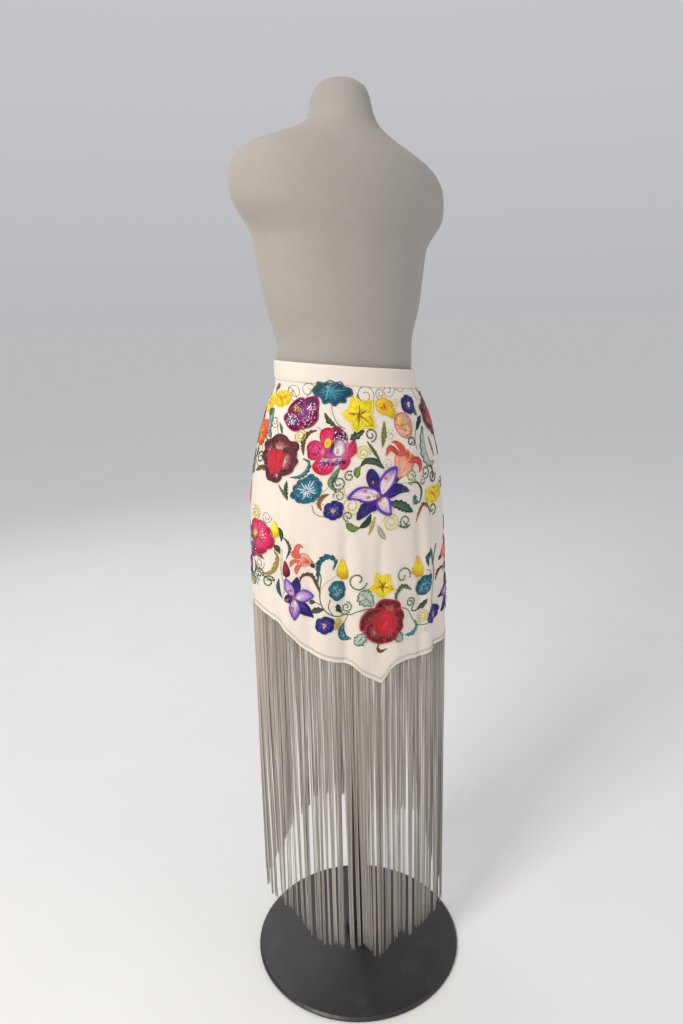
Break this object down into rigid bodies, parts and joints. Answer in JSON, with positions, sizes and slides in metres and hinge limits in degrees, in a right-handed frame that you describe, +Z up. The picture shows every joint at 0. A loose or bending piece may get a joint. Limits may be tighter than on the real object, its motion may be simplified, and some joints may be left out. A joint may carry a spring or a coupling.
{
  "type": "embroidered skirt on a dress form",
  "caption": "Long cream silk skirt with bright floral embroidery, a pointed hem and long silk fringe, worn by a limbless linen covered dress form on a pole and a round metal base.",
  "frame": {"origin": "on the floor under the centre of the stand's base", "axes": "+Z up; the pointed back hem faces +Y; the wearer's left side is +X"},
  "size_m": [0.4, 0.4, 1.58],
  "materials": {
    "skirt_silk": "cream silk crepe with a soft sheen",
    "fringe_tape": "narrow woven silk braid",
    "fringe_thread": "twisted silk fringe threads",
    "embroidery": "shiny satin stitch in many colours with sequins and beads",
    "form_linen": "plain off-white linen cover",
    "stand_metal": "black satin paint"
  },
  "bodies": {
    "root": {"waistband": "skirt_silk", "back_panel": "skirt_silk", "front_panel": "skirt_silk", "back_fringe_tape": "fringe_tape", "front_fringe_tape": "fringe_tape", "back_fringe": "fringe_thread", "front_fringe": "fringe_thread", "form_body": "form_linen", "form_flange": "stand_metal", "stand_pole": "stand_metal", "stand_collar": "stand_metal", "stand_base": "stand_metal"}
  },
  "joints": []
}
